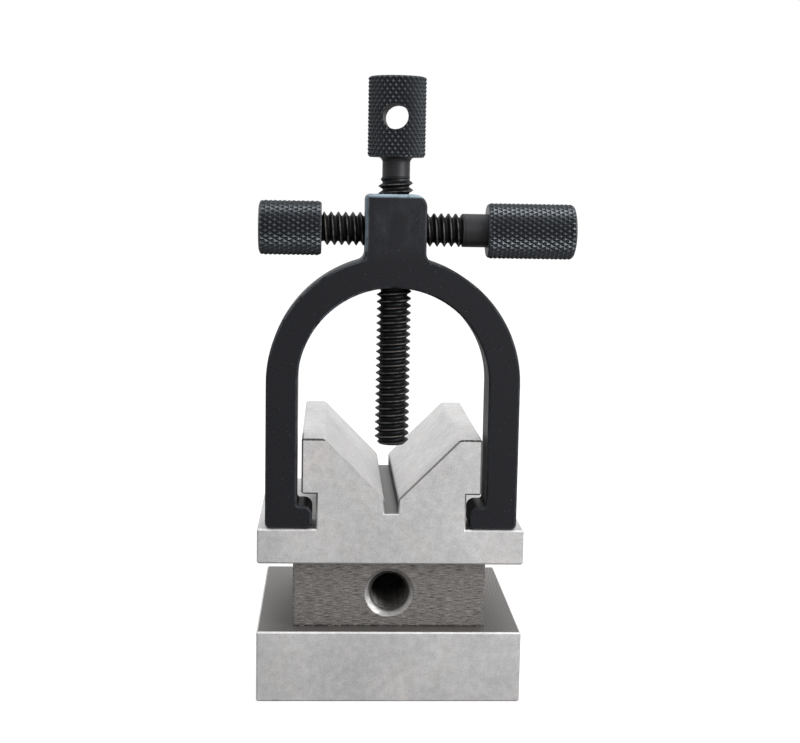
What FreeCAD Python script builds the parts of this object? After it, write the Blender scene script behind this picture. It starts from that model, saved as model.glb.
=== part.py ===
import FreeCAD, Part
import math
import os

from FreeCAD import Vector

# A toolmaker's V block with its clamp, in millimetres.
# X runs across the block, Y runs along the V (the front face looks towards -Y)
# and Z is up. The origin is the centre of the block's base.

# ---------------------------------------------------------------- block
BLOCK_WIDTH = 47.625
BLOCK_LENGTH = 44.45
BASE_HEIGHT = 13.0
WAIST_HEIGHT = 12.5
FLANGE_HEIGHT = 6.35
HEAD_HEIGHT = 16.3
HEAD_WIDTH = 32.0
VEE_WIDTH = 24.1
VEE_ANGLE = 90.0
RELIEF_WIDTH = 2.38
RELIEF_DEPTH = 2.45
UNDERCUT_HEIGHT = 6.35
UNDERCUT_DEPTH = 2.65
WAIST_SIDE_INSET = 6.35
WAIST_END_INSET = 3.6
BLOCK_EDGE_BREAK = 0.3

# Tapped hole in the front of the waist, left plain at the thread's major size.
TAPPED_DIAMETER = 7.94
TAPPED_DEPTH = 17.0
TAPPED_COUNTERSINK = 9.1
DRILL_POINT_ANGLE = 118.0

# ---------------------------------------------------------------- clamp yoke
YOKE_THICKNESS = 8.73
YOKE_BAR = 5.55
YOKE_SIDE_GAP = 0.85
YOKE_SEAT_GAP = 0.05
YOKE_RISE = 26.1
FOOT_HEIGHT = 4.05
FOOT_END_GAP = 0.75
FOOT_NOSE_RADIUS = 1.5
FOOT_TOE_RADIUS = 0.8
FOOT_ROOT_RADIUS = 0.5
HEEL_RADIUS = 1.0
BOSS_WIDTH = 10.7
BOSS_HEIGHT = 10.7
BOSS_ROOT_RADIUS = 1.6
BOSS_LEFT_RADIUS = 0.9
BOSS_RIGHT_RADIUS = 2.2
YOKE_EDGE_BREAK = 0.35
BORE_COUNTERSINK = 0.35

# ---------------------------------------------------------------- screws
RUNNING_GAP = 0.05
TIP_CHAMFER = 0.8

MAIN_THREAD_DIAMETER = 6.1
MAIN_TIP_DEPTH = 1.45
MAIN_THREAD_STAND_OUT = 2.5
MAIN_NECK_DIAMETER = 4.85
MAIN_NECK_LENGTH = 3.9
MAIN_NECK_FILLET = 0.9
MAIN_KNOB_DIAMETER = 10.2
MAIN_KNOB_LENGTH = 13.8
CROSS_HOLE_DIAMETER = 4.6
CROSS_HOLE_ANGLE = 6.0
CROSS_HOLE_BREAK = 0.25

SIDE_THREAD_DIAMETER = 5.9
SIDE_AXIS_DROP = 6.15
SIDE_TIP_GAP = 0.6
SIDE_TIP_CHAMFER = 0.4
KNOB_CHAMFER = 0.5

LEFT_THREAD_STAND_OUT = 7.6
LEFT_KNOB_DIAMETER = 9.6
LEFT_KNOB_LENGTH = 10.95
LEFT_OUTER_CHAMFER = 0.8

RIGHT_THREAD_STAND_OUT = 7.0
RIGHT_SHANK_DIAMETER = 5.86
RIGHT_SHANK_LENGTH = 3.9
RIGHT_KNOB_DIAMETER = 9.8
RIGHT_KNOB_LENGTH = 15.9
RIGHT_DOME_HEIGHT = 0.4
RIGHT_OUTER_RADIUS = 1.1

# ---------------------------------------------------------------- worked out
X_AXIS = Vector(1, 0, 0)
Y_AXIS = Vector(0, 1, 0)
Z_AXIS = Vector(0, 0, 1)
ORIGIN = Vector(0, 0, 0)
SAME = 1e-4
OVERLAP = 1.0

FRONT_Y = -BLOCK_LENGTH / 2
WAIST_BOTTOM = BASE_HEIGHT
WAIST_TOP = WAIST_BOTTOM + WAIST_HEIGHT
FLANGE_TOP = WAIST_TOP + FLANGE_HEIGHT
BLOCK_TOP = FLANGE_TOP + HEAD_HEIGHT
UNDERCUT_WALL_X = HEAD_WIDTH / 2 - UNDERCUT_DEPTH
VEE_DEPTH = (VEE_WIDTH - RELIEF_WIDTH) / 2 / math.tan(math.radians(VEE_ANGLE / 2))

YOKE_INNER_X = HEAD_WIDTH / 2 + YOKE_SIDE_GAP
YOKE_OUTER_X = YOKE_INNER_X + YOKE_BAR
YOKE_BOTTOM = FLANGE_TOP + YOKE_SEAT_GAP
ARCH_CENTRE_Z = YOKE_BOTTOM + YOKE_RISE
ARCH_TOP = ARCH_CENTRE_Z + YOKE_OUTER_X
FOOT_END_X = UNDERCUT_WALL_X + FOOT_END_GAP
FOOT_TOP = YOKE_BOTTOM + FOOT_HEIGHT
BOSS_TOP = ARCH_TOP + BOSS_HEIGHT
YOKE_MID_Y = FRONT_Y + YOKE_THICKNESS / 2
SIDE_AXIS_Z = BOSS_TOP - SIDE_AXIS_DROP


def closed_face(edges):
    """Return the plane face that a list of joined edges encloses."""
    return Part.Face(Part.Wire(edges))


def polygon_face(points):
    """Return the plane face of a polygon, given without its closing point."""
    return Part.Face(Part.makePolygon(points + [points[0]]))


def turned(stations, start, direction):
    """Turn a solid about the axis that leaves start in the given direction.

    A station is (distance along the axis, radius), reached by a straight line, or
    (distance, radius, middle distance, middle radius), reached by an arc. The
    first and last stations lie on the axis.
    """
    here = Vector(stations[0][0], 0, 0)
    edges = []
    for distance, radius, *middle in stations[1:]:
        there = Vector(distance, 0, radius)
        if middle:
            through = Vector(middle[0], 0, middle[1])
            edges.append(Part.Arc(here, through, there).toShape())
        else:
            edges.append(Part.makeLine(here, there))
        here = there
    edges.append(Part.makeLine(here, Vector(stations[0][0], 0, 0)))
    solid = closed_face(edges).revolve(ORIGIN, X_AXIS, 360)
    return placed_along(solid, start, direction)


def placed_along(solid, start, direction):
    """Move a solid made along +X from the origin onto another axis."""
    turn = FreeCAD.Rotation(X_AXIS, direction)
    solid.Placement = FreeCAD.Placement(start, turn)
    return solid


def edges_where(solid, test):
    """Return the solid's edges whose two ends and middle all pass the test."""
    chosen = []
    for edge in solid.Edges:
        middle = edge.valueAt((edge.FirstParameter + edge.LastParameter) / 2)
        points = [vertex.Point for vertex in edge.Vertexes] + [middle]
        if all(test(point) for point in points):
            chosen.append(edge)
    return chosen


def edges_along_y(solid, x, z):
    """Return the edges that run along Y at one place of the XZ section."""
    return edges_where(solid, lambda p: abs(p.x - x) < SAME and abs(p.z - z) < SAME)


def edges_in_plane_y(solid, y):
    """Return the edges that lie in a plane across Y."""
    return edges_where(solid, lambda p: abs(p.y - y) < SAME)


def rim(solid, centre, radius):
    """Return the circular edges of a turned solid with one centre and radius."""
    real = [edge for edge in solid.Edges if not edge.Degenerated]
    return [
        edge for edge in real
        if isinstance(edge.Curve, Part.Circle)
        and edge.Curve.Center.distanceToPoint(centre) < SAME
        and abs(edge.Curve.Radius - radius) < SAME
    ]


# ---------------------------------------------------------------- v block
def block_section():
    """Return the block's XZ outline, with the V, its relief and the undercuts."""
    right = [
        (BLOCK_WIDTH / 2, 0),
        (BLOCK_WIDTH / 2, WAIST_BOTTOM),
        (BLOCK_WIDTH / 2 - WAIST_SIDE_INSET, WAIST_BOTTOM),
        (BLOCK_WIDTH / 2 - WAIST_SIDE_INSET, WAIST_TOP),
        (BLOCK_WIDTH / 2, WAIST_TOP),
        (BLOCK_WIDTH / 2, FLANGE_TOP),
        (UNDERCUT_WALL_X, FLANGE_TOP),
        (UNDERCUT_WALL_X, FLANGE_TOP + UNDERCUT_HEIGHT),
        (HEAD_WIDTH / 2, FLANGE_TOP + UNDERCUT_HEIGHT),
        (HEAD_WIDTH / 2, BLOCK_TOP),
        (VEE_WIDTH / 2, BLOCK_TOP),
        (RELIEF_WIDTH / 2, BLOCK_TOP - VEE_DEPTH),
        (RELIEF_WIDTH / 2, BLOCK_TOP - VEE_DEPTH - RELIEF_DEPTH),
    ]
    left = [(-x, z) for x, z in reversed(right)]
    return polygon_face([Vector(x, FRONT_Y, z) for x, z in right + left])


def waist_end_cut(y):
    """Return the slab that sinks the waist at one end, starting at y."""
    corner = Vector(-BLOCK_WIDTH / 2, y, WAIST_BOTTOM)
    return Part.makeBox(BLOCK_WIDTH, WAIST_END_INSET, WAIST_HEIGHT, corner)


def tapped_hole():
    """Return the tool shape of the blind hole: countersink, bore and drill point."""
    radius = TAPPED_DIAMETER / 2
    mouth = TAPPED_COUNTERSINK / 2
    point_length = radius / math.tan(math.radians(DRILL_POINT_ANGLE / 2))
    face_y = FRONT_Y + WAIST_END_INSET
    centre = Vector(0, face_y, (WAIST_BOTTOM + WAIST_TOP) / 2)
    stations = [
        (-OVERLAP, 0),
        (-OVERLAP, mouth + OVERLAP),
        (mouth - radius, radius),
        (TAPPED_DEPTH, radius),
        (TAPPED_DEPTH + point_length, 0),
    ]
    return turned(stations, centre, Y_AXIS)


def corner_is_convex(edge, solid):
    """Tell an outer corner of the solid from an inner one, along a straight edge."""
    middle = edge.valueAt((edge.FirstParameter + edge.LastParameter) / 2)
    faces = [face for face in solid.Faces if any(edge.isSame(e) for e in face.Edges)]
    normals = [face.normalAt(*face.Surface.parameter(middle)) for face in faces]
    beside = middle + (normals[0] - normals[1]) * (BLOCK_EDGE_BREAK / 4)
    return not solid.isInside(beside, SAME, True)


def make_v_block():
    """Mill the block: section, waist, broken edges and tapped hole."""
    block = block_section().extrude(Y_AXIS * BLOCK_LENGTH)
    block = block.cut(waist_end_cut(FRONT_Y))
    block = block.cut(waist_end_cut(-FRONT_Y - WAIST_END_INSET)).removeSplitter()
    sharp = [edge for edge in block.Edges if corner_is_convex(edge, block)]
    block = block.makeChamfer(BLOCK_EDGE_BREAK, sharp)
    return block.cut(tapped_hole())


# ---------------------------------------------------------------- clamp yoke
def arch_section():
    """Return the yoke's front outline: round arch, straight legs and inward feet."""
    def at(x, z):
        return Vector(x, FRONT_Y, z)

    outer_arc = Part.Arc(
        at(YOKE_OUTER_X, ARCH_CENTRE_Z),
        at(0, ARCH_TOP),
        at(-YOKE_OUTER_X, ARCH_CENTRE_Z),
    ).toShape()
    inner_arc = Part.Arc(
        at(-YOKE_INNER_X, ARCH_CENTRE_Z),
        at(0, ARCH_CENTRE_Z + YOKE_INNER_X),
        at(YOKE_INNER_X, ARCH_CENTRE_Z),
    ).toShape()
    left_leg = [
        at(-YOKE_OUTER_X, ARCH_CENTRE_Z),
        at(-YOKE_OUTER_X, YOKE_BOTTOM),
        at(-FOOT_END_X, YOKE_BOTTOM),
        at(-FOOT_END_X, FOOT_TOP),
        at(-YOKE_INNER_X, FOOT_TOP),
        at(-YOKE_INNER_X, ARCH_CENTRE_Z),
    ]
    right_leg = [at(-point.x, point.z) for point in reversed(left_leg)]
    legs = Part.makePolygon(left_leg).Edges, Part.makePolygon(right_leg).Edges
    return closed_face([outer_arc] + legs[0] + [inner_arc] + legs[1])


def boss_block():
    """Return the squared boss that stands on the arch and holds the screws."""
    root_z = ARCH_CENTRE_Z + (YOKE_INNER_X + YOKE_OUTER_X) / 2
    corner = Vector(-BOSS_WIDTH / 2, FRONT_Y, root_z)
    return Part.makeBox(BOSS_WIDTH, YOKE_THICKNESS, BOSS_TOP - root_z, corner)


def boss_root_z():
    """Return the height at which the boss's sides meet the round of the arch."""
    return ARCH_CENTRE_Z + math.sqrt(YOKE_OUTER_X ** 2 - (BOSS_WIDTH / 2) ** 2)


def round_corners(yoke):
    """Round the corners of the yoke's front outline, each by its own radius."""
    corners = [
        (BOSS_WIDTH / 2, boss_root_z(), BOSS_ROOT_RADIUS),
        (-BOSS_WIDTH / 2, boss_root_z(), BOSS_ROOT_RADIUS),
        (-BOSS_WIDTH / 2, BOSS_TOP, BOSS_LEFT_RADIUS),
        (BOSS_WIDTH / 2, BOSS_TOP, BOSS_RIGHT_RADIUS),
    ]
    for side in (-1, 1):
        corners += [
            (side * YOKE_OUTER_X, YOKE_BOTTOM, HEEL_RADIUS),
            (side * FOOT_END_X, YOKE_BOTTOM, FOOT_TOE_RADIUS),
            (side * FOOT_END_X, FOOT_TOP, FOOT_NOSE_RADIUS),
            (side * YOKE_INNER_X, FOOT_TOP, FOOT_ROOT_RADIUS),
        ]
    for x, z, radius in corners:
        yoke = yoke.makeFillet(radius, edges_along_y(yoke, x, z))
    return yoke


def screw_bore(diameter, mouth, direction, length):
    """Return the tool shape of a countersunk bore that runs in from its mouth."""
    radius = diameter / 2 + RUNNING_GAP
    stations = [
        (-OVERLAP, 0),
        (-OVERLAP, radius + BORE_COUNTERSINK + OVERLAP),
        (BORE_COUNTERSINK, radius),
        (length, radius),
        (length, 0),
    ]
    return turned(stations, mouth, direction)


def make_clamp_yoke():
    """Forge the yoke: arch, boss, broken edges and the three screw bores."""
    arch = arch_section().extrude(Y_AXIS * YOKE_THICKNESS)
    yoke = arch.fuse(boss_block()).removeSplitter()
    yoke = round_corners(yoke)
    rims = edges_in_plane_y(yoke, FRONT_Y) + edges_in_plane_y(yoke, FRONT_Y + YOKE_THICKNESS)
    yoke = yoke.makeChamfer(YOKE_EDGE_BREAK, rims)
    main_mouth = Vector(0, YOKE_MID_Y, BOSS_TOP)
    main_length = BOSS_TOP - ARCH_CENTRE_Z
    yoke = yoke.cut(screw_bore(MAIN_THREAD_DIAMETER, main_mouth, -Z_AXIS, main_length))
    for side in (-1, 1):
        mouth = Vector(side * BOSS_WIDTH / 2, YOKE_MID_Y, SIDE_AXIS_Z)
        inwards = X_AXIS * -side
        yoke = yoke.cut(screw_bore(SIDE_THREAD_DIAMETER, mouth, inwards, BOSS_WIDTH / 2))
    return yoke


# ---------------------------------------------------------------- screws
def cross_hole(knob_middle):
    """Return the tool shape of the tommy bar hole, with its two broken rims."""
    radius = CROSS_HOLE_DIAMETER / 2
    half = MAIN_KNOB_DIAMETER / 2
    turn = math.radians(CROSS_HOLE_ANGLE)
    direction = Vector(math.sin(turn), math.cos(turn), 0)
    wide = radius + CROSS_HOLE_BREAK + OVERLAP
    stations = [
        (-half - OVERLAP, 0),
        (-half - OVERLAP, wide),
        (-half + CROSS_HOLE_BREAK, radius),
        (half - CROSS_HOLE_BREAK, radius),
        (half + OVERLAP, wide),
        (half + OVERLAP, 0),
    ]
    return turned(stations, knob_middle, direction)


def make_clamp_screw():
    """Turn the long screw that presses down into the V, from tip to knob."""
    tip_z = BLOCK_TOP - MAIN_TIP_DEPTH
    thread = MAIN_THREAD_DIAMETER / 2
    neck = MAIN_NECK_DIAMETER / 2
    knob = MAIN_KNOB_DIAMETER / 2
    thread_end = BOSS_TOP + MAIN_THREAD_STAND_OUT - tip_z
    neck_end = thread_end + MAIN_NECK_LENGTH
    knob_end = neck_end + MAIN_KNOB_LENGTH
    stations = [
        (0, 0),
        (0, thread - TIP_CHAMFER),
        (TIP_CHAMFER, thread),
        (thread_end, thread),
        (thread_end + thread - neck, neck),
        (neck_end, neck),
        (neck_end, knob - KNOB_CHAMFER),
        (neck_end + KNOB_CHAMFER, knob),
        (knob_end - KNOB_CHAMFER, knob),
        (knob_end, knob - KNOB_CHAMFER),
        (knob_end, 0),
    ]
    tip = Vector(0, YOKE_MID_Y, tip_z)
    screw = turned(stations, tip, Z_AXIS)
    screw = screw.makeFillet(MAIN_NECK_FILLET, rim(screw, tip + Z_AXIS * neck_end, neck))
    return screw.cut(cross_hole(tip + Z_AXIS * (neck_end + MAIN_KNOB_LENGTH / 2)))


def side_thread(stand_out):
    """Return the stations of a side screw's tip and thread, and where it ends."""
    thread = SIDE_THREAD_DIAMETER / 2
    end = BOSS_WIDTH / 2 - MAIN_THREAD_DIAMETER / 2 - SIDE_TIP_GAP + stand_out
    stations = [
        (0, 0),
        (0, thread - SIDE_TIP_CHAMFER),
        (SIDE_TIP_CHAMFER, thread),
        (end, thread),
    ]
    return stations, end


def side_tip(side):
    """Return the place of a side screw's tip, on the given side of the boss."""
    x = side * (MAIN_THREAD_DIAMETER / 2 + SIDE_TIP_GAP)
    return Vector(x, YOKE_MID_Y, SIDE_AXIS_Z)


def make_left_side_screw():
    """Turn the short-headed side screw, threaded up to its knob."""
    knob = LEFT_KNOB_DIAMETER / 2
    stations, thread_end = side_thread(LEFT_THREAD_STAND_OUT)
    knob_end = thread_end + LEFT_KNOB_LENGTH
    stations += [
        (thread_end, knob - KNOB_CHAMFER),
        (thread_end + KNOB_CHAMFER, knob),
        (knob_end - LEFT_OUTER_CHAMFER, knob),
        (knob_end, knob - LEFT_OUTER_CHAMFER),
        (knob_end, 0),
    ]
    return turned(stations, side_tip(-1), -X_AXIS)


def quarter_round(distance, radius, corner):
    """Return the station that ends a corner radius, which starts at the given place."""
    lean = corner * math.sqrt(0.5)
    return (
        distance + corner,
        radius - corner,
        distance + lean,
        radius - corner + lean,
    )


def dome_top(rim_distance, rim_radius, height):
    """Return the station of a low dome's top, reached by an arc from its rim."""
    sphere = (rim_radius ** 2 + height ** 2) / (2 * height)
    half_angle = math.asin(rim_radius / sphere) / 2
    centre = rim_distance + height - sphere
    return (
        rim_distance + height,
        0,
        centre + sphere * math.cos(half_angle),
        sphere * math.sin(half_angle),
    )


def make_right_side_screw():
    """Turn the side screw with the plain shank and the long domed knob."""
    shank = RIGHT_SHANK_DIAMETER / 2
    knob = RIGHT_KNOB_DIAMETER / 2
    stations, thread_end = side_thread(RIGHT_THREAD_STAND_OUT)
    knob_start = thread_end + RIGHT_SHANK_LENGTH
    dome_start = knob_start + RIGHT_KNOB_LENGTH - RIGHT_DOME_HEIGHT
    corner_start = dome_start - RIGHT_OUTER_RADIUS
    stations += [
        (thread_end, shank),
        (knob_start, shank),
        (knob_start, knob - KNOB_CHAMFER),
        (knob_start + KNOB_CHAMFER, knob),
        (corner_start, knob),
        quarter_round(corner_start, knob, RIGHT_OUTER_RADIUS),
        dome_top(dome_start, knob - RIGHT_OUTER_RADIUS, RIGHT_DOME_HEIGHT),
    ]
    return turned(stations, side_tip(1), X_AXIS)


def main():
    """Build every piece and write one STEP file for each."""
    pieces = {
        "v_block": make_v_block(),
        "clamp_yoke": make_clamp_yoke(),
        "clamp_screw": make_clamp_screw(),
        "left_side_screw": make_left_side_screw(),
        "right_side_screw": make_right_side_screw(),
    }
    os.makedirs("parts", exist_ok=True)
    for name, shape in pieces.items():
        shape.exportStep(f"parts/{name}.step")
        box = shape.BoundBox
        print(name, "valid", shape.isValid(), "solids", len(shape.Solids),
              "volume", round(shape.Volume, 1), "z", round(box.ZMin, 2), round(box.ZMax, 2))


main()
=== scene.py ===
"""Looks of a toolmaker's V block with its clamp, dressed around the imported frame.

The block and the yoke keep their own solids and get detailed finishes. The three screws are
made again with threads and knurls, and the tapped hole gets its thread. Every size is in
metres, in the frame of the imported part: X across, Y along the V, Z up.
"""

import logging
import math
from collections.abc import Sequence
from dataclasses import dataclass, field
from enum import Enum

import bpy
from mathutils import Euler, Matrix, Vector

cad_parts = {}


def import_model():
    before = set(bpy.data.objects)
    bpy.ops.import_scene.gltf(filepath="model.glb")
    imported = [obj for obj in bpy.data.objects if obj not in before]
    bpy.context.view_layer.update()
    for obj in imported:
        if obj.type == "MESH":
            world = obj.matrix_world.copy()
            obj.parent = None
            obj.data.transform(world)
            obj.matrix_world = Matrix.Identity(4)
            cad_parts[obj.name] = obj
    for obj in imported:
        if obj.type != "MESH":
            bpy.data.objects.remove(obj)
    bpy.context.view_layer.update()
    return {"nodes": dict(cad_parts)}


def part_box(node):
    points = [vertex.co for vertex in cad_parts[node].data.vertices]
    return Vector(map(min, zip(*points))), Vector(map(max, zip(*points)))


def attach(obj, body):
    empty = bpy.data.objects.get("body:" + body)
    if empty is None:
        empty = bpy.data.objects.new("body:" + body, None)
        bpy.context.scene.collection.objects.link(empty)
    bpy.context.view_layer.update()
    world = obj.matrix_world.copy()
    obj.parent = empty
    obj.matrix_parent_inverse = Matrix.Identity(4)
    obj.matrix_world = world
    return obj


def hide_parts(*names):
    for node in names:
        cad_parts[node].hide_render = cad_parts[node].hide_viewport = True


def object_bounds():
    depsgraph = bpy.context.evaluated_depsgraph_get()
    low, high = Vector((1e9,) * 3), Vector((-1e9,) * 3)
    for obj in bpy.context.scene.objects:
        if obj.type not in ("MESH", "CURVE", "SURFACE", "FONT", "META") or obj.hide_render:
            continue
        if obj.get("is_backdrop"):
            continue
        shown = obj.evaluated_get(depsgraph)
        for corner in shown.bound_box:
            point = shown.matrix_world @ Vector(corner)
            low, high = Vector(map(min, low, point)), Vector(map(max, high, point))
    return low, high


MM = 0.001
MERGE_DISTANCE = 0.0005 * MM
TURN = 2 * math.pi
CREASE_DEGREES = 25.0

Colour = tuple[float, float, float]
Place = tuple[float, float, float]
Angles = tuple[float, float, float]

log = logging.getLogger("v_block")


# ------------------------------------------------------------------ node trees
class Field:
    """A number in a node tree, with plain arithmetic that adds Math nodes."""

    def __init__(self, sheet: "NodeSheet", socket: bpy.types.NodeSocket) -> None:
        """Wrap an output socket of the sheet's tree."""
        self.sheet = sheet
        self.socket = socket

    def math(self, operation: str, *others: "Field | float") -> "Field":
        """Add a Math node that starts from this field.

        Args:
            operation: The Math node's operation.
            others: Its further operands.

        Returns:
            The node's result.
        """
        node = self.sheet.add("ShaderNodeMath", operation=operation)
        for socket, value in zip(node.inputs, (self, *others)):
            self.sheet.feed(socket, value)
        return Field(self.sheet, node.outputs[0])

    def __add__(self, other: "Field | float") -> "Field":
        """Add."""
        return self.math("ADD", other)

    def __sub__(self, other: "Field | float") -> "Field":
        """Subtract."""
        return self.math("SUBTRACT", other)

    def __rsub__(self, other: float) -> "Field":
        """Subtract from a plain number."""
        return self.math("MULTIPLY_ADD", -1.0, other)

    def __mul__(self, other: "Field | float") -> "Field":
        """Multiply."""
        return self.math("MULTIPLY", other)

    def __truediv__(self, other: "Field | float") -> "Field":
        """Divide."""
        return self.math("DIVIDE", other)

    def smaller(self, other: "Field | float") -> "Field":
        """Return the smaller of two fields."""
        return self.math("MINIMUM", other)

    def larger(self, other: "Field | float") -> "Field":
        """Return the larger of two fields."""
        return self.math("MAXIMUM", other)

    def size(self) -> "Field":
        """Return the field without its sign."""
        return self.math("ABSOLUTE")

    def root(self) -> "Field":
        """Return the square root."""
        return self.math("SQRT")

    def sine(self) -> "Field":
        """Return the sine."""
        return self.math("SINE")

    def cosine(self) -> "Field":
        """Return the cosine."""
        return self.math("COSINE")

    def clamped(self) -> "Field":
        """Return the field held between 0 and 1."""
        return self.larger(0.0).smaller(1.0)

    def off_whole(self) -> "Field":
        """Return how far the field is from the nearest whole number."""
        return ((self + 0.5).math("FRACT") - 0.5).size()

    def rise(self, start: float, end: float) -> "Field":
        """Return a smooth rise from 0 at start to 1 at end."""
        node = self.sheet.add("ShaderNodeMapRange", interpolation_type="SMOOTHSTEP")
        self.sheet.feed(node.inputs["Value"], self)
        node.inputs["From Min"].default_value = start
        node.inputs["From Max"].default_value = end
        return Field(self.sheet, node.outputs["Result"])

    def within(self, low: float, high: float, soft: float) -> "Field":
        """Return 1 between two values and 0 outside them, with soft edges."""
        return self.rise(low - soft, low) * (1.0 - self.rise(high, high + soft))


class NodeSheet:
    """A node tree being written, with short calls for what its nodes share."""

    def __init__(self, tree: bpy.types.NodeTree) -> None:
        """Start writing in a tree."""
        self.tree = tree

    def add(self, kind: str, **settings: object) -> bpy.types.Node:
        """Add a node.

        Args:
            kind: The node's type.
            settings: Properties to set on it.

        Returns:
            The new node.
        """
        node = self.tree.nodes.new(kind)
        for name, value in settings.items():
            setattr(node, name, value)
        return node

    def feed(self, socket: bpy.types.NodeSocket, value: object) -> None:
        """Join a field or a socket to an input, or set the input's own value."""
        if isinstance(value, Field):
            self.tree.links.new(value.socket, socket)
        elif isinstance(value, bpy.types.NodeSocket):
            self.tree.links.new(value, socket)
        else:
            socket.default_value = value

    def parts_of(self, vector: bpy.types.NodeSocket) -> tuple[Field, Field, Field]:
        """Split a vector into its three fields."""
        node = self.add("ShaderNodeSeparateXYZ")
        self.feed(node.inputs[0], vector)
        return tuple(Field(self, output) for output in node.outputs)

    def vector(self, x: object, y: object, z: object) -> bpy.types.NodeSocket:
        """Join three fields or numbers into a vector."""
        node = self.add("ShaderNodeCombineXYZ")
        for socket, value in zip(node.inputs, (x, y, z)):
            self.feed(socket, value)
        return node.outputs[0]


class ShapeRecipe:
    """A Geometry Nodes tree with named inputs, baked into plain meshes."""

    def __init__(self, name: str) -> None:
        """Start an empty tree with its geometry output and material input."""
        self.tree = bpy.data.node_groups.new(name, "GeometryNodeTree")
        self.sheet = NodeSheet(self.tree)
        self.identifiers: dict[str, str] = {}
        self.tree.interface.new_socket("Shape", in_out="OUTPUT", socket_type="NodeSocketGeometry")
        self.entry = self.sheet.add("NodeGroupInput")

    def _input(self, name: str, kind: str) -> bpy.types.NodeSocket:
        """Add a named input of one kind and return its socket inside the tree."""
        item = self.tree.interface.new_socket(name, in_out="INPUT", socket_type=kind)
        self.identifiers[name] = item.identifier
        return self.entry.outputs[name]

    def length(self, name: str) -> Field:
        """Add an input for a size in metres or a plain ratio."""
        return Field(self.sheet, self._input(name, "NodeSocketFloat"))

    def count(self, name: str) -> Field:
        """Add an input for a whole number."""
        return Field(self.sheet, self._input(name, "NodeSocketInt"))

    def close(self, shape: bpy.types.NodeSocket) -> None:
        """End the tree: realize what is instanced, set the material and hand it out."""
        realize = self.sheet.add("GeometryNodeRealizeInstances")
        self.sheet.feed(realize.inputs["Geometry"], shape)
        dress = self.sheet.add("GeometryNodeSetMaterial")
        self.sheet.feed(dress.inputs["Geometry"], realize.outputs[0])
        self.sheet.feed(dress.inputs["Material"], self._input("Material", "NodeSocketMaterial"))
        leave = self.sheet.add("NodeGroupOutput")
        self.sheet.feed(leave.inputs[0], dress.outputs[0])

    def bake(self, name: str, **values: object) -> bpy.types.Mesh:
        """Run the tree and return its result as a plain mesh.

        Args:
            name: The mesh's name.
            values: A value for each input, named with underscores for spaces.

        Returns:
            The mesh, with its material in slot 0.
        """
        carrier = bpy.data.objects.new(name, bpy.data.meshes.new(name))
        bpy.context.collection.objects.link(carrier)
        modifier = carrier.modifiers.new(name, "NODES")
        modifier.node_group = self.tree
        for key, value in values.items():
            modifier[self.identifiers[key.replace("_", " ").capitalize()]] = value
        mesh = baked_mesh(carrier)
        mesh.name = name
        bpy.data.objects.remove(carrier)
        return mesh


def baked_mesh(piece: bpy.types.Object) -> bpy.types.Mesh:
    """Return an object's mesh with its modifiers applied."""
    bpy.context.view_layer.update()
    evaluated = piece.evaluated_get(bpy.context.evaluated_depsgraph_get())
    return bpy.data.meshes.new_from_object(evaluated)


class TurnedGrid:
    """A grid sheet inside a recipe that is wrapped round an axis and closed at both ends."""

    CAP_ROWS = 6

    def __init__(self, recipe: ShapeRecipe, columns: Field | int, rows: Field) -> None:
        """Lay the flat grid: columns go round the axis and rows go along it."""
        self.sheet = recipe.sheet
        total = rows + 2.0 * self.CAP_ROWS
        grid = self.sheet.add("GeometryNodeMeshGrid")
        for name, value in (("Size X", 1.0), ("Size Y", 1.0)):
            grid.inputs[name].default_value = value
        self.sheet.feed(grid.inputs["Vertices X"], columns + 1)
        self.sheet.feed(grid.inputs["Vertices Y"], total + 1.0)
        self.flat = grid.outputs["Mesh"]
        place = self.sheet.add("GeometryNodeInputPosition").outputs[0]
        across, along, _ = self.sheet.parts_of(place)
        self.turn = across + 0.5
        self.row = (along + 0.5) * total - float(self.CAP_ROWS)
        self.near_cap = (self.row * (-1.0 / self.CAP_ROWS)).clamped()
        self.far_cap = ((self.row - rows) / float(self.CAP_ROWS)).clamped()
        self.wall_row = self.row.larger(0.0).smaller(rows)

    def wrap(self, radius: Field, distance: Field, crest: Field) -> bpy.types.NodeSocket:
        """Wrap the grid round +Z and join its seam and poles.

        Args:
            radius: Distance from the axis on the wall.
            distance: Distance along the axis.
            crest: How near a point is to a crest, kept as the attribute crest.

        Returns:
            The closed shell, in triangles that keep their creases.
        """
        keep = self.sheet.add("GeometryNodeStoreNamedAttribute", data_type="FLOAT", domain="POINT")
        self.sheet.feed(keep.inputs["Geometry"], self.flat)
        keep.inputs["Name"].default_value = "crest"
        self.sheet.feed(keep.inputs["Value"], crest)
        reach = radius * (1.0 - self.near_cap) * (1.0 - self.far_cap)
        angle = self.turn * TURN
        place = self.sheet.vector(reach * angle.cosine(), reach * angle.sine(), distance)
        bend = self.sheet.add("GeometryNodeSetPosition")
        self.sheet.feed(bend.inputs["Geometry"], keep.outputs[0])
        self.sheet.feed(bend.inputs["Position"], place)
        join = self.sheet.add("GeometryNodeMergeByDistance")
        self.sheet.feed(join.inputs["Geometry"], bend.outputs[0])
        join.inputs["Distance"].default_value = MERGE_DISTANCE
        cut = self.sheet.add("GeometryNodeTriangulate", quad_method="SHORTEST_DIAGONAL")
        self.sheet.feed(cut.inputs[0], join.outputs[0])
        return cut.outputs[0]


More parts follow.
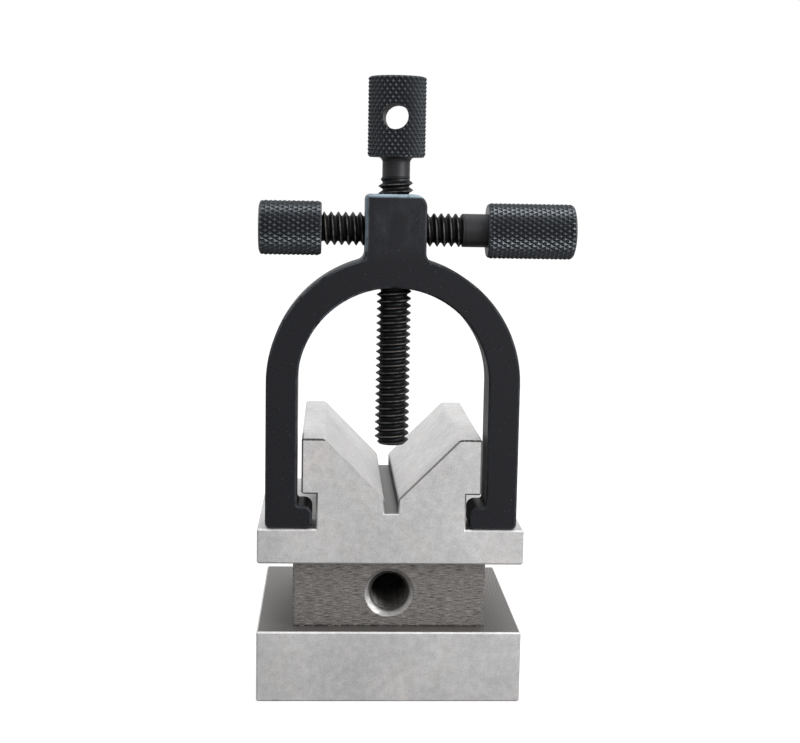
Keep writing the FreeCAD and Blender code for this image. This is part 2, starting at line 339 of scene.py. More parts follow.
class DiamondKnurl(ShapeRecipe):
    """A knob cut with two crossing sets of V grooves, chamfered or rounded at its ends."""

    HIGHLIGHT_BAND = 0.1 * MM

    def __init__(self) -> None:
        """Write the tree: a cylinder whose wall follows a lattice of pyramids."""
        super().__init__("diamond_knurl")
        radius, length = self.length("Radius"), self.length("Length")
        depth, land = self.length("Depth"), self.length("Land")
        teeth, courses = self.count("Teeth"), self.length("Courses")
        detail = self.count("Detail")
        near, far = self.length("Near chamfer"), self.length("Far corner")
        dome = self.length("Dome")

        columns = teeth * detail * 2.0
        rows = (courses * detail * 2.0).math("ROUND")
        grid = TurnedGrid(self, columns, rows)
        barrel = length - dome
        distance = grid.wall_row / rows * barrel
        around = grid.turn * teeth
        along = grid.wall_row / (detail * 2.0)
        groove = (around + along).off_whole().larger((around - along).off_whole())
        height = ((1.0 - groove * 2.0) / (1.0 - land)).smaller(1.0)
        to_end = barrel - distance
        end_ring = 1.0 - (to_end / MERGE_DISTANCE).clamped().math("FLOOR")
        height = height.larger(end_ring)
        knurled = radius - depth * (1.0 - height)
        chamfered = radius - near + distance
        inside = (far - to_end).larger(0.0)
        rounded = radius - far + (far * far - inside * inside).larger(0.0).root()
        wall = knurled.smaller(chamfered).smaller(rounded)
        flat = 1.0 - grid.far_cap
        bulge = dome * (1.0 - flat * flat)
        place = distance + bulge * grid.far_cap.math("SIGN")
        # the chamfered and rounded ends count as crests, a painted highlight band in the knob's
        # finish
        chamfer_highlight = ((knurled - wall) / self.HIGHLIGHT_BAND).clamped()
        self.close(grid.wrap(wall, place, height.larger(chamfer_highlight)))


class HelicalThread(ShapeRecipe):
    """A right-handed screw thread with flat crests and roots and a chamfered tip."""

    COLUMNS = 72
    ROWS_PER_PITCH = 16
    CREST_SHARE = 0.10
    ROOT_SHARE = 0.80

    def __init__(self) -> None:
        """Write the tree: a cylinder whose rows follow the helix."""
        super().__init__("helical_thread")
        radius, length = self.length("Radius"), self.length("Length")
        depth, pitch = self.length("Depth"), self.length("Pitch")
        tip, fade = self.length("Tip chamfer"), self.length("Fade")
        end, start = self.length("End radius"), self.length("Start turn")

        reach = length + pitch
        rows = (reach / pitch * float(self.ROWS_PER_PITCH)).math("CEIL")
        grid = TurnedGrid(self, self.COLUMNS, rows)
        lead = grid.turn * pitch
        sheared = grid.wall_row * (1.0 / self.ROWS_PER_PITCH) * pitch - pitch + lead
        distance = sheared.larger(0.0).smaller(length)
        aside = ((distance - lead) / pitch + start).off_whole() * 2.0
        slope = self.ROOT_SHARE - self.CREST_SHARE
        height = ((self.ROOT_SHARE - aside) * (1.0 / slope)).clamped()
        full = ((length - distance) / fade).clamped()
        threaded = radius - depth * (1.0 - height)
        ended = threaded * full + end * (1.0 - full)
        chamfered = radius - tip + distance
        wall = ended.smaller(chamfered)
        self.close(grid.wrap(wall, distance, height * full))


class TappedThread(ShapeRecipe):
    """A sleeve whose bore carries a thread, opened at its mouth by a countersink."""

    COLUMNS = 72
    ROWS_PER_PITCH = 16
    CREST_SHARE = 0.125
    ROOT_SHARE = 0.75

    def __init__(self) -> None:
        """Write the tree: a tube wall whose inner side follows the helix."""
        super().__init__("tapped_thread")
        radius, length = self.length("Radius"), self.length("Length")
        depth, pitch = self.length("Depth"), self.length("Pitch")
        mouth = self.length("Mouth radius")

        rows = (length / pitch * float(self.ROWS_PER_PITCH)).math("CEIL")
        sheet = self.sheet
        grid = sheet.add("GeometryNodeMeshGrid")
        grid.inputs["Size X"].default_value = 1.0
        grid.inputs["Size Y"].default_value = 1.0
        grid.inputs["Vertices X"].default_value = self.COLUMNS + 1
        sheet.feed(grid.inputs["Vertices Y"], rows + 1.0)
        across, along, _ = sheet.parts_of(sheet.add("GeometryNodeInputPosition").outputs[0])
        turn = 0.5 - across
        distance = (along + 0.5) * length
        aside = (distance / pitch - turn).off_whole() * 2.0
        slope = self.ROOT_SHARE - self.CREST_SHARE
        height = ((self.ROOT_SHARE - aside) * (1.0 / slope)).clamped()
        bore = (radius - depth * height).larger(mouth - distance)
        angle = turn * TURN
        place = sheet.vector(bore * angle.cosine(), bore * angle.sine(), distance)
        bend = sheet.add("GeometryNodeSetPosition")
        sheet.feed(bend.inputs["Geometry"], grid.outputs["Mesh"])
        sheet.feed(bend.inputs["Position"], place)
        join = sheet.add("GeometryNodeMergeByDistance")
        sheet.feed(join.inputs["Geometry"], bend.outputs[0])
        join.inputs["Distance"].default_value = MERGE_DISTANCE
        self.close(join.outputs[0])


# ------------------------------------------------------------------ finishes
class Shader(NodeSheet):
    """A material being written, with the patterns that its finishes share."""

    RING_WAVER = 1.4

    def __init__(self, name: str) -> None:
        """Start a material with one Principled shader."""
        self.material = bpy.data.materials.new(name)
        self.material.use_nodes = True
        super().__init__(self.material.node_tree)
        self.surface = self.tree.nodes["Principled BSDF"]
        self.place = self.add("ShaderNodeTexCoord").outputs["Object"]

    def noise(
        self, grain: Sequence[float] | float, detail: float = 3.0, roughness: float = 0.55
    ) -> Field:
        """Return a noise pattern from 0 to 1.

        Args:
            grain: The pattern's size in metres, alike all ways or along X, Y and Z.
            detail: Its octaves.
            roughness: How strong its finer octaves are.

        Returns:
            The pattern as a field.
        """
        sizes = (grain,) * 3 if isinstance(grain, float) else tuple(grain)
        scaled = self.add("ShaderNodeMapping")
        self.feed(scaled.inputs["Vector"], self.place)
        scaled.inputs["Scale"].default_value = [1.0 / size for size in sizes]
        node = self.add("ShaderNodeTexNoise")
        self.feed(node.inputs["Vector"], scaled.outputs[0])
        node.inputs["Scale"].default_value = 1.0
        node.inputs["Detail"].default_value = detail
        node.inputs["Roughness"].default_value = roughness
        return Field(self, node.outputs["Fac"])

    def rings(self, centre: Sequence[float], spacing: float, waver: Field) -> Field:
        """Return cutter arcs about a centre on a flat face, as waves from 0 to 1.

        Args:
            centre: The cutter's centre on the face, as X and Y.
            spacing: The distance from arc to arc.
            waver: Noise that keeps the arcs uneven.

        Returns:
            The waves as a field.
        """
        x, y, _ = self.parts_of(self.place)
        east, north = x - centre[0], y - centre[1]
        away = (east * east + north * north).root()
        return ((away / spacing + waver * self.RING_WAVER) * TURN).sine() * 0.5 + 0.5

    def mix(self, share: Field, low: object, high: object) -> bpy.types.NodeSocket:
        """Mix two colours by a share from 0 to 1."""
        node = self.add("ShaderNodeMix", data_type="RGBA")
        self.feed(node.inputs[0], share)
        for socket, colour in ((node.inputs[6], low), (node.inputs[7], high)):
            self.feed(socket, (*colour, 1.0) if isinstance(colour, tuple) else colour)
        return node.outputs[2]

    def tinted(self, colour: object, factor: Field) -> bpy.types.NodeSocket:
        """Return a colour made lighter or darker by a factor."""
        node = self.add("ShaderNodeVectorMath", operation="SCALE")
        self.feed(node.inputs[0], colour)
        self.feed(node.inputs["Scale"], factor)
        return node.outputs[0]

    def face_direction(self) -> tuple[Field, Field, Field]:
        """Return the surface's own direction, as three fields."""
        return self.parts_of(self.add("ShaderNodeTexCoord").outputs["Normal"])

    def crest(self) -> Field:
        """Return how near a point is to a thread's or knurl's crest."""
        node = self.add("ShaderNodeAttribute", attribute_name="crest")
        return Field(self, node.outputs["Fac"])

    def bump(self, height: Field, depth: float) -> None:
        """Raise the surface by a height pattern of the given depth in metres."""
        node = self.add("ShaderNodeBump")
        node.inputs["Strength"].default_value = 1.0
        node.inputs["Distance"].default_value = depth
        self.feed(node.inputs["Height"], height)
        self.feed(self.surface.inputs["Normal"], node.outputs[0])

    def dress(self, **values: object) -> bpy.types.Material:
        """Set the Principled shader's inputs and return the material."""
        for name, value in values.items():
            socket = self.surface.inputs[name.replace("_", " ").title().replace("Ior", "IOR")]
            self.feed(socket, (*value, 1.0) if isinstance(value, tuple) else value)
        return self.material


@dataclass(frozen=True)
class BlockSteel:
    """Ground faces with a fine even grain and milled recesses with cutter lines, with painted shade
    in the hollows, ledges and upper chamfers and a painted highlight at the hole's mouth.
    """

    ground: Colour = (0.620, 0.616, 0.618)
    warm: Colour = (0.595, 0.574, 0.562)
    milled: Colour = (0.370, 0.352, 0.338)
    milled_dark: Colour = (0.075, 0.068, 0.064)
    shaded_ledge: Colour = (0.260, 0.250, 0.242)
    hollow_shade: Colour = (0.19, 0.187, 0.185)
    nick_and_shade_black: Colour = (0.03, 0.028, 0.027)
    ring_highlight_share: float = 0.55
    edge_shade: float = 0.62
    ground_roughness: float = 0.50
    speckle_grain: float = 0.20 * MM
    mottle_grain: float = 1.6 * MM
    patch_grain: float = 6.0 * MM
    cloud_grain: float = 12.0 * MM
    streak_grain: Sequence[float] = (1.7 * MM, 1.7 * MM, 0.10 * MM)
    nick_grain: Sequence[float] = (0.5 * MM, 0.5 * MM, 0.3 * MM)
    swirl_centre: Sequence[float] = (-60.0 * MM, 30.0 * MM)
    swirl_spacing: float = 0.62 * MM
    swirl_waver: float = 2.5 * MM
    waist_low: float = 13.0 * MM
    waist_high: float = 25.5 * MM
    foot_high: float = 13.45 * MM
    slot_half: float = 1.22 * MM
    slot_low: float = 34.7 * MM
    slot_high: float = 37.25 * MM
    undercut_low: float = 31.9 * MM
    undercut_high: float = 38.3 * MM
    undercut_wall: float = 13.3 * MM
    undercut_mouth: float = 16.05 * MM
    shoulder: float = 47.84 * MM
    front: float = -21.9 * MM
    mouth: float = -17.6 * MM
    mouth_soft: float = 0.5 * MM
    hole_inner: float = 4.6 * MM
    hole_outer: float = 4.8 * MM
    ring_width: float = 0.9 * MM
    ring_soft: float = 0.04 * MM
    ring_inner: float = 4.55 * MM
    ring_outer: float = 4.7 * MM
    level_start: float = 0.80
    level_full: float = 0.95
    bevel_start: float = 0.45
    bevel_end: float = 0.93
    bevel_soft: float = 0.04
    grain_depth: float = 0.006 * MM
    soft: float = 0.05 * MM

    def make(self) -> bpy.types.Material:
        """Build the material."""
        paint = Shader("block_steel")
        x, y, z = paint.parts_of(paint.place)
        _, forward, up = paint.face_direction()
        across = x.size()

        # Where on the block each finish, painted shade and painted highlight lies.
        waist = z.within(self.waist_low, self.waist_high, self.soft)
        slot = z.within(self.slot_low, self.slot_high, self.soft) * (
            1.0 - across.rise(self.slot_half, self.slot_half + self.soft))
        undercut = z.within(self.undercut_low, self.undercut_high, self.soft) * across.within(
            self.undercut_wall, self.undercut_mouth, self.soft)
        shaded_ledge = waist * up.rise(self.level_start, self.level_full)
        wall = waist * (1.0 - up.size().rise(self.level_start, self.level_full))
        foot_crease_shade = wall * (1.0 - z.rise(self.waist_low, self.foot_high))
        bore_shade = waist * y.within(self.mouth, -self.mouth, self.mouth_soft) * (
            1.0 - across.rise(self.hole_inner, self.hole_outer))
        ring = waist * y.within(self.mouth - self.ring_width, self.mouth, self.ring_soft) * (
            1.0 - across.rise(self.ring_inner, self.ring_outer))
        broken = z.rise(self.shoulder - self.soft, self.shoulder) * (
            1.0 - y.rise(self.front - self.soft, self.front))
        bevel = forward.size().within(self.bevel_start, self.bevel_end, self.bevel_soft)
        shaded_edges = bevel * z.rise(self.slot_low, self.slot_high)

        # What the cutters, the wheel and handling leave.
        speckle = paint.noise(self.speckle_grain, 3.0, 0.7)
        mottle = paint.noise(self.mottle_grain, 4.0, 0.6)
        cloud = paint.noise(self.cloud_grain, 3.0)
        patch = paint.noise(self.patch_grain, 4.0, 0.6)
        streak = paint.noise(self.streak_grain, 3.0, 0.65)
        nick = paint.noise(self.nick_grain, 2.0, 0.6)
        waver = paint.noise(self.swirl_waver, 2.0)
        swirl = paint.rings(self.swirl_centre, self.swirl_spacing, waver)

        # Each finish, the painted shade and the painted highlight, then one laid over another.
        ground = paint.mix(patch.rise(0.45, 0.75), self.ground, self.warm)
        ground = paint.tinted(ground, speckle * 0.90 + mottle * 0.50 + cloud * 0.50 + 0.05)
        # painted shade: the forward-leaning chamfers of the upper part are darkened
        ground = paint.tinted(ground, 1.0 - shaded_edges * self.edge_shade)
        lines = streak.rise(0.30, 0.70)
        milled = paint.mix(lines, self.milled_dark, self.milled)
        milled = paint.tinted(milled, speckle * 2.0)
        # painted shade in the corner at the foot of the waist wall, broken up by the nick pattern
        milled = paint.mix(foot_crease_shade * nick.rise(0.35, 0.5), milled, self.nick_and_shade_black)
        # the flange tops in the waist keep their cutter arcs; their dark tone is painted shade
        # under the upper flange
        shaded_shelf = paint.mix(swirl * 0.45, self.shaded_ledge, self.milled_dark)
        shaded_shelf = paint.tinted(shaded_shelf, speckle * 0.4 + 0.8)
        # painted shade: the relief slot and the undercut are painted dark
        painted_inner_tone = paint.tinted(self.hollow_shade, speckle * 0.6 + 0.7)
        # the ring at the hole's mouth takes the lighter ground tone, partly its own cut face and
        # partly a painted highlight
        colour = paint.mix(wall * (1.0 - ring * self.ring_highlight_share), ground, milled)
        colour = paint.mix(slot.larger(undercut), colour, painted_inner_tone)
        colour = paint.mix(shaded_ledge, colour, shaded_shelf)
        # painted shade deep inside the tapped hole
        colour = paint.mix(bore_shade * 0.85, colour, self.nick_and_shade_black)
        colour = paint.mix(broken * nick.rise(0.30, 0.45) * 0.8, colour, self.nick_and_shade_black)

        height = speckle * 0.4 + mottle * 0.2 + wall * lines * 0.6 + shaded_ledge * swirl * 0.5
        paint.bump(height, self.grain_depth)
        rough = speckle * 0.12 + self.ground_roughness - 0.06
        return paint.dress(base_color=colour, metallic=1.0, roughness=rough)


@dataclass(frozen=True)
class YokeBlack:
    """Blackened forging with a dull grain, a paler boss and edges that are rubbed a little lighter,
    with painted highlights on the upper-left edges and the boss's band and painted light on the
    legs' inner faces.
    """

    flat: Colour = (0.0105, 0.0108, 0.0135)
    boss_paler: Colour = (0.0270, 0.0280, 0.0320)
    edge_wear_and_highlight: Colour = (0.055, 0.062, 0.072)
    band_highlight: Colour = (0.40, 0.52, 0.60)
    painted_inner_tone: Colour = (0.115, 0.115, 0.120)
    speck: Colour = (0.13, 0.14, 0.15)
    roughness: float = 0.50
    specular: float = 0.16
    speckle_grain: float = 0.22 * MM
    smear_grain: Sequence[float] = (2.6 * MM, 2.6 * MM, 5.0 * MM)
    patch_grain: float = 1.8 * MM
    speck_grain: float = 0.30 * MM
    grain_depth: float = 0.010 * MM
    boss_low: float = 79.0 * MM
    boss_high: float = 82.5 * MM
    boss_top: float = 91.1 * MM
    boss_half: float = 5.35 * MM
    band: float = 0.75 * MM
    arch_low: float = 60.0 * MM
    arch_high: float = 70.0 * MM
    arch_left: float = -6.0 * MM
    leg_low: float = 36.0 * MM
    leg_high: float = 37.0 * MM
    bevel_start: float = 0.45
    bevel_end: float = 0.93
    bevel_soft: float = 0.06

    def make(self) -> bpy.types.Material:
        """Build the material."""
        paint = Shader("yoke_black")
        x, _, z = paint.parts_of(paint.place)
        outward, forward, _ = paint.face_direction()
        speckle = paint.noise(self.speckle_grain, 3.0, 0.7)
        smear = paint.noise(self.smear_grain, 4.0, 0.6)
        patch = paint.noise(self.patch_grain, 3.0, 0.6)
        specks = paint.noise(self.speck_grain, 1.0, 0.5).rise(0.735, 0.78)

        boss = z.rise(self.boss_low, self.boss_high)
        broken = forward.size().within(self.bevel_start, self.bevel_end, self.bevel_soft)
        # the boss is painted paler in a smeared pattern
        colour = paint.mix((smear.rise(0.35, 0.8) * 0.8 + 0.1) * boss, self.flat, self.boss_paler)
        colour = paint.tinted(colour, speckle * 3.0 - 0.5)
        # painted highlight on the upper-left edges of the arch, over a little rubbing on all edges
        highlit_upper_left = (1.0 - x.rise(self.arch_left, 0.0)) * z.rise(self.arch_low, self.arch_high)
        wear_and_highlight = broken * patch.rise(0.35, 0.60) * (highlit_upper_left * 1.6 + 0.35)
        colour = paint.mix(wear_and_highlight.smaller(1.0), colour, self.edge_wear_and_highlight)
        # painted highlight: a bluish band along the top and left edge of the boss
        top = z.rise(self.boss_top - self.band, self.boss_top - 0.3 * self.band)
        side = (1.0 - x.rise(-self.boss_half, self.band - self.boss_half)) * boss
        rubbed_and_highlight = top.larger(side * 0.55) * patch.rise(0.22, 0.55)
        colour = paint.mix(rubbed_and_highlight * 0.75, colour, self.band_highlight)
        colour = paint.mix(specks * 0.8, colour, self.speck)
        # painted light: the inner faces of the legs are painted a lit grey
        inside = (outward * x.math("SIGN")).rise(-0.85, -0.97) * z.rise(self.leg_low, self.leg_high)
        colour = paint.mix(inside * (smear * 0.5 + 0.5), colour, self.painted_inner_tone)

        paint.bump(speckle * 0.7 + smear * 0.3, self.grain_depth)
        rough = speckle * 0.16 + self.roughness - 0.08
        return paint.dress(base_color=colour, roughness=rough, specular_ior_level=self.specular)


@dataclass(frozen=True)
class ScrewBlack:
    """Blackened turned steel whose crests are rubbed towards bare metal and painted lighter as
    glints.
    """

    name: str
    root: Colour
    crest: Colour
    crest_start: float
    roughness: float = 0.36
    specular: float = 0.5
    sheen: Colour = (0.84, 0.93, 1.0)
    speckle_grain: float = 0.16 * MM
    patch_grain: float = 1.8 * MM
    grain_depth: float = 0.006 * MM

    def make(self) -> bpy.types.Material:
        """Build the material."""
        paint = Shader(self.name)
        speckle = paint.noise(self.speckle_grain, 3.0, 0.7)
        patch = paint.noise(self.patch_grain, 3.0)
        # the crests are lighter partly from rubbing and partly as painted glints
        rubbed_and_highlight = paint.crest().rise(self.crest_start, 1.0) * patch.rise(0.30, 0.62)
        colour = paint.mix(rubbed_and_highlight, self.root, self.crest)
        colour = paint.tinted(colour, speckle * 0.8 + 0.6)
        paint.bump(speckle, self.grain_depth)
        rough = speckle * 0.2 + self.roughness - 0.1
        return paint.dress(
            base_color=colour, roughness=rough, specular_ior_level=self.specular,
            specular_tint=self.sheen)


# ------------------------------------------------------------------ pieces
def turned_mesh(
    name: str, outline: Sequence[tuple[float, float]], columns: int, material: bpy.types.Material
) -> bpy.types.Mesh:
    """Turn a closed shell about +Z.

    Args:
        name: The mesh's name.
        outline: (distance along the axis, radius) pairs, with radius 0 at both ends.
        columns: The faces round the axis.
        material: The shell's finish.

    Returns:
        The shell's mesh.
    """
    points = [(0.0, 0.0, outline[0][0]), (0.0, 0.0, outline[-1][0])]
    for distance, radius in outline[1:-1]:
        for column in range(columns):
            angle = TURN * column / columns
            points.append((radius * math.cos(angle), radius * math.sin(angle), distance))
    faces = []
    last_ring = len(outline) - 3
    for column in range(columns):
        here, there = 2 + column, 2 + (column + 1) % columns
        faces.append((0, there, here))
        for ring in range(last_ring):
            low, high = ring * columns, (ring + 1) * columns
            faces.append((here + low, there + low, there + high, here + high))
        top = last_ring * columns
        faces.append((1, here + top, there + top))
    mesh = bpy.data.meshes.new(name)
    mesh.from_pydata(points, [], faces)
    mesh.materials.append(material)
    return mesh


def joined(name: str, meshes: Sequence[bpy.types.Mesh]) -> bpy.types.Object:
    """Join meshes into one new object."""
    objects = [bpy.data.objects.new(mesh.name, mesh) for mesh in meshes]
    for item in objects:
        bpy.context.collection.objects.link(item)
    whole = objects[0]
    with bpy.context.temp_override(
        active_object=whole, selected_editable_objects=objects, selected_objects=objects
    ):
        bpy.ops.object.join()
    whole.name = name
    whole.data.name = name
    return whole


def shade_by_angle(mesh: bpy.types.Mesh) -> None:
    """Shade a mesh smooth, apart from its creases."""
    mesh.shade_smooth()
    mesh.set_sharp_from_angle(angle=math.radians(CREASE_DEGREES))


class Axis(Enum):
    """The way that a screw points from its tip to its knob."""

    UP = (0.0, 0.0, 1.0)
    LEFT = (-1.0, 0.0, 0.0)
    RIGHT = (1.0, 0.0, 0.0)

    def turn(self) -> Matrix:
        """Return the turn that takes +Z to this axis."""
        return Vector((0.0, 0.0, 1.0)).rotation_difference(Vector(self.value)).to_matrix().to_4x4()


@dataclass
class KnurledScrew:
    """A screw in one piece with its knurled knob, from tip to knob end."""

    node: str
    body: str
    axis: Axis
    thread_radius: float
    thread_end: float
    knob_length: float
    teeth: int
    courses: float
    neck_radius: float
    neck_fillet: float = 0.0
    neck_steps: int = 8
    tip_chamfer: float = 0.4 * MM
    fade: float = 0.5 * MM
    pitch: float = 1.27 * MM
    thread_depth: float = 0.70 * MM
    start_turn: float = 0.0
    knurl_depth: float = 0.34 * MM
    knurl_land: float = 0.10
    knurl_detail: int = 4
    near_chamfer: float = 0.4 * MM
    far_corner: float = 0.4 * MM
    dome: float = 0.0
    cross_hole_radius: float = 0.0
    cross_hole_break: float = 0.25 * MM
    cross_hole_turn: float = math.radians(6.0)
    cross_hole_columns: int = 64
    tool_margin: float = 1.0 * MM
    neck_columns: int = 96

    def place(self) -> tuple[Matrix, float, float]:
        """Work out from the frame where the screw stands, its length and knob radius."""
        low, high = (Vector(corner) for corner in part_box(self.node))
        middle, span = (low + high) / 2, high - low
        along = Vector(self.axis.value)
        length = abs(span.dot(along))
        tip = middle - along * (length / 2)
        across = max(side for side, share in zip(span, along) if abs(share) < 0.5)
        return Matrix.Translation(tip) @ self.axis.turn(), length, across / 2

    def neck_outline(self, start: float, end: float) -> list[tuple[float, float]]:
        """Return the plain stretch between thread and knob, flared into the knob."""
        outline = [(start, 0.0), (start, self.neck_radius)]
        for step in range(self.neck_steps + 1 if self.neck_fillet else 0):
            angle = math.pi / 2 * step / self.neck_steps
            outline.append((
                end - self.neck_fillet * (1 - math.sin(angle)),
                self.neck_radius + self.neck_fillet * (1 - math.cos(angle)),
            ))
        sunk = end + self.near_chamfer
        outline += [(sunk, outline[-1][1]), (sunk, 0.0)]
        return outline

    def make_knob(
        self, length: float, radius: float, finish: bpy.types.Material, bore: bpy.types.Material
    ) -> bpy.types.Mesh:
        """Cut the knob's knurl, and its cross hole if it has one."""
        knob = DiamondKnurl().bake(
            f"{self.node}_knob", radius=radius, length=self.knob_length, depth=self.knurl_depth,
            land=self.knurl_land, teeth=self.teeth, courses=self.courses,
            detail=self.knurl_detail, near_chamfer=self.near_chamfer,
            far_corner=self.far_corner, dome=self.dome, material=finish)
        knob.transform(Matrix.Translation((0.0, 0.0, length - self.knob_length)))
        if not self.cross_hole_radius:
            return knob
        return self.drilled(knob, length - self.knob_length / 2, radius, bore)

    def drilled(
        self, knob: bpy.types.Mesh, height: float, radius: float, finish: bpy.types.Material
    ) -> bpy.types.Mesh:
        """Cut the cross hole through the knob, with its two broken rims."""
        hole, rim = self.cross_hole_radius, self.cross_hole_radius + self.cross_hole_break
        past = radius + self.tool_margin
        wide = rim + self.tool_margin
        outline = [
            (-past, 0.0), (-past, wide), (-radius + self.cross_hole_break, hole),
            (radius - self.cross_hole_break, hole), (past, wide), (past, 0.0),
        ]
        cutter = turned_mesh("cross_hole_tool", outline, self.cross_hole_columns, finish)
        tool = joined("cross_hole_tool", [cutter])
        lay_down = Euler((-math.pi / 2, 0.0, -self.cross_hole_turn)).to_matrix().to_4x4()
        tool.data.transform(Matrix.Translation((0.0, 0.0, height)) @ lay_down)
        carrier = joined("knob", [knob])
        cut = carrier.modifiers.new("cross_hole", "BOOLEAN")
        cut.operation = "DIFFERENCE"
        cut.solver = "EXACT"
        cut.material_mode = "TRANSFER"
        cut.object = tool
        drilled = baked_mesh(carrier)
        for item in (carrier, tool):
            bpy.data.objects.remove(item)
        return drilled

    def build(
        self, knurl: ScrewBlack, thread: ScrewBlack, plain: ScrewBlack
    ) -> bpy.types.Object:
        """Make the whole screw where the frame has it.

        Args:
            knurl: The knob's finish.
            thread: The thread's finish.
            plain: The neck's finish.

        Returns:
            The screw, which stands for its CAD node and rides on its body.
        """
        stand, length, radius = self.place()
        knurl_black, thread_black, plain_black = knurl.make(), thread.make(), plain.make()
        rod = HelicalThread().bake(
            f"{self.node}_thread", radius=self.thread_radius, length=self.thread_end,
            depth=self.thread_depth, pitch=self.pitch, tip_chamfer=self.tip_chamfer,
            fade=self.fade, end_radius=self.neck_radius, start_turn=self.start_turn,
            material=thread_black)
        neck_start = self.thread_end - self.thread_depth
        neck = turned_mesh(
            f"{self.node}_neck", self.neck_outline(neck_start, length - self.knob_length),
            self.neck_columns, plain_black)
        knob = self.make_knob(length, radius, knurl_black, thread_black)
        screw = joined(f"{self.node}_dressed", [rod, neck, knob])
        screw.data.transform(stand)
        shade_by_angle(screw.data)
        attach(screw, self.body)
        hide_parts(self.node)
        log.info("%s: %d faces", screw.name, len(screw.data.polygons))
        return screw


@dataclass
class TappedHole:
    """The thread inside the blind hole in the front of the block's waist."""

    major_radius: float = 3.965 * MM
    depth: float = 0.72 * MM
    pitch: float = 1.411 * MM
    length: float = 15.5 * MM
    mouth_radius: float = 4.55 * MM
    waist_inset: float = 3.6 * MM
    height: float = 19.25 * MM
    start: float = 0.6 * MM

    def build(self, finish: bpy.types.Material) -> bpy.types.Object:
        """Make the thread as one sleeve that lines the bore."""
        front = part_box("v_block")[0][1] + self.waist_inset + self.start
        mesh = TappedThread().bake(
            "tapped_thread", radius=self.major_radius, length=self.length, depth=self.depth,
            pitch=self.pitch, mouth_radius=self.mouth_radius - self.start, material=finish)
        turn = Euler((-math.pi / 2, 0.0, 0.0)).to_matrix().to_4x4()
        mesh.transform(Matrix.Translation((0.0, front, self.height)) @ turn)
        sleeve = joined("tapped_thread", [mesh])
        shade_by_angle(sleeve.data)
        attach(sleeve, "block")
        log.info("%s: %d faces", sleeve.name, len(sleeve.data.polygons))
        return sleeve


# ------------------------------------------------------------------ studio
@dataclass(frozen=True)
class SoftBox:
    """A square studio light that looks at the object."""

    name: str
    place: Place
    size: float
    power: float

    def build(self, target: Vector) -> None:
        """Hang the light and aim it."""
        light = bpy.data.lights.new(self.name, "AREA")
        light.shape = "SQUARE"
        light.size = self.size
        light.energy = self.power
        lamp = bpy.data.objects.new(self.name, light)
        lamp.location = self.place
        lamp.rotation_euler = (target - lamp.location).to_track_quat("-Z", "Y").to_euler()
        bpy.context.collection.objects.link(lamp)


@dataclass
class Studio:
    """Pale floor, white surroundings, soft lights and the camera."""

    camera_place: Place = (-11.15 * MM, -267.75 * MM, 92.25 * MM)
    camera_degrees: Angles = (82.587, -1.031, -2.721)
    lens: float = 63.6
    nearest: float = 0.01
    floor_half: float = 3.0
    floor_colour: Colour = (0.36, 0.36, 0.36)
    floor_roughness: float = 0.9
    floor_lift: float = 0.80
    ambient: float = 0.50
    softboxes: tuple[SoftBox, ...] = field(default_factory=lambda: (
        SoftBox("overhead", (0.02, 0.02, 0.60), 0.50, 0.9),
        SoftBox("right_front", (0.30, -0.26, 0.20), 0.22, 1.9),
        SoftBox("left", (-0.50, 0.10, 0.30), 0.50, 0.35),
    ))

    def build(self) -> None:
        """Set up everything that isn't the object."""
        view = bpy.context.scene.view_settings
        view.view_transform = "Standard"
        self.make_floor()
        self.make_world()
        low, high = (Vector(corner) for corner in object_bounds())
        for softbox in self.softboxes:
            softbox.build((low + high) / 2)
        self.make_camera()

    def make_floor(self) -> None:
        """Lay the floor, white to the camera away from the object's shadow."""
        half = self.floor_half
        mesh = bpy.data.meshes.new("floor")
        corners = [(-half, -half, 0), (half, -half, 0), (half, half, 0), (-half, half, 0)]
        mesh.from_pydata(corners, [], [(0, 1, 2, 3)])
        floor = bpy.data.objects.new("floor", mesh)
        bpy.context.collection.objects.link(floor)
        paint = Shader("floor_white")
        paint.dress(base_color=self.floor_colour, roughness=self.floor_roughness)
        glow = paint.add("ShaderNodeEmission")
        rays = paint.add("ShaderNodeLightPath")
        seen = Field(paint, rays.outputs["Is Camera Ray"])
        seen = seen.larger(Field(paint, rays.outputs["Is Transmission Ray"]))
        paint.feed(glow.inputs["Strength"], seen * self.floor_lift)
        both = paint.add("ShaderNodeAddShader")
        paint.feed(both.inputs[0], paint.surface.outputs[0])
        paint.feed(both.inputs[1], glow.outputs[0])
        paint.feed(paint.tree.nodes["Material Output"].inputs["Surface"], both.outputs[0])
        mesh.materials.append(paint.material)
        floor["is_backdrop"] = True

    def make_world(self) -> None:
        """Surround the scene: white where it is seen or mirrored, softer as light."""
        world = bpy.data.worlds.new("surroundings")
        bpy.context.scene.world = world
        world.use_nodes = True
        sheet = NodeSheet(world.node_tree)
        rays = sheet.add("ShaderNodeLightPath")
        seen = Field(sheet, rays.outputs["Is Camera Ray"])
        for name in ("Is Glossy Ray", "Is Transmission Ray"):
            seen = seen.larger(Field(sheet, rays.outputs[name]))
        back = world.node_tree.nodes["Background"]
        back.inputs["Color"].default_value = (1.0, 1.0, 1.0, 1.0)
        sheet.feed(back.inputs["Strength"], seen * (1.0 - self.ambient) + self.ambient)

    def make_camera(self) -> None:
        """Stand the camera in front of the block, a little left and well above it."""
        camera = bpy.data.cameras.new("camera")
        camera.lens = self.lens
        camera.clip_start = self.nearest
        stand = bpy.data.objects.new("camera", camera)
        stand.location = self.camera_place
        stand.rotation_euler = [math.radians(angle) for angle in self.camera_degrees]
        bpy.context.collection.objects.link(stand)
        bpy.context.scene.camera = stand


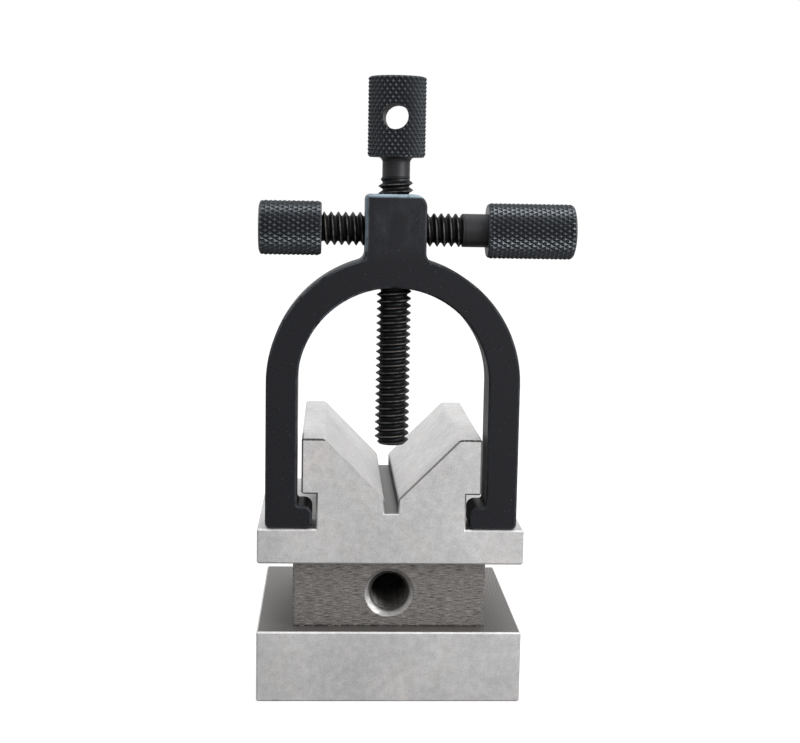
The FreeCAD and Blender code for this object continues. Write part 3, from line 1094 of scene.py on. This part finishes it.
# ------------------------------------------------------------------ the whole
def dress_node(frame: dict[str, dict], node: str, material: bpy.types.Material) -> None:
    """Give a CAD node one material over all its slots."""
    piece = frame["nodes"][node]
    for slot in piece.material_slots:
        slot.material = material
    log.info("%s keeps its solid, dressed in %s", node, material.name)


def main() -> None:
    """Build the studio, dress the block and yoke, and make the screws."""
    logging.basicConfig(level=logging.INFO, format="%(name)s: %(message)s")
    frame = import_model()

    Studio().build()
    steel = BlockSteel().make()
    dress_node(frame, "v_block", steel)
    dress_node(frame, "clamp_yoke", YokeBlack().make())
    TappedHole().build(steel)

    # the crest colours are partly rubbed metal and partly painted glints
    knurl = ScrewBlack(
        name="knurl_black", root=(0.010, 0.0105, 0.013), crest=(0.085, 0.090, 0.100),
        crest_start=0.60)
    thread = ScrewBlack(
        name="thread_black", root=(0.004, 0.0038, 0.0038), crest=(0.10, 0.092, 0.085),
        crest_start=0.85, roughness=0.5, specular=0.2)
    plain = ScrewBlack(
        name="turned_black", root=(0.016, 0.0125, 0.013), crest=(0.016, 0.0125, 0.013),
        crest_start=0.5, roughness=0.45, specular=0.35)
    KnurledScrew(
        node="clamp_screw", body="main_screw", axis=Axis.UP, thread_radius=3.05 * MM,
        thread_end=47.5 * MM, knob_length=13.8 * MM, teeth=30, courses=10.3,
        neck_radius=2.425 * MM, neck_fillet=0.9 * MM, tip_chamfer=0.8 * MM, fade=1.3 * MM,
        start_turn=0.45, cross_hole_radius=2.22 * MM,
    ).build(knurl, thread, plain)
    KnurledScrew(
        node="left_side_screw", body="left_screw", axis=Axis.LEFT, thread_radius=2.95 * MM,
        thread_end=9.4 * MM, knob_length=10.95 * MM, teeth=30, courses=6.7,
        neck_radius=2.2 * MM, far_corner=0.8 * MM,
    ).build(knurl, thread, plain)
    KnurledScrew(
        node="right_side_screw", body="right_screw", axis=Axis.RIGHT, thread_radius=2.95 * MM,
        thread_end=8.9 * MM, knob_length=15.9 * MM, teeth=31, courses=10.0,
        neck_radius=2.93 * MM, fade=1.2 * MM, far_corner=1.1 * MM, dome=0.4 * MM,
    ).build(knurl, thread, plain)


if __name__ == "__main__":
    main()
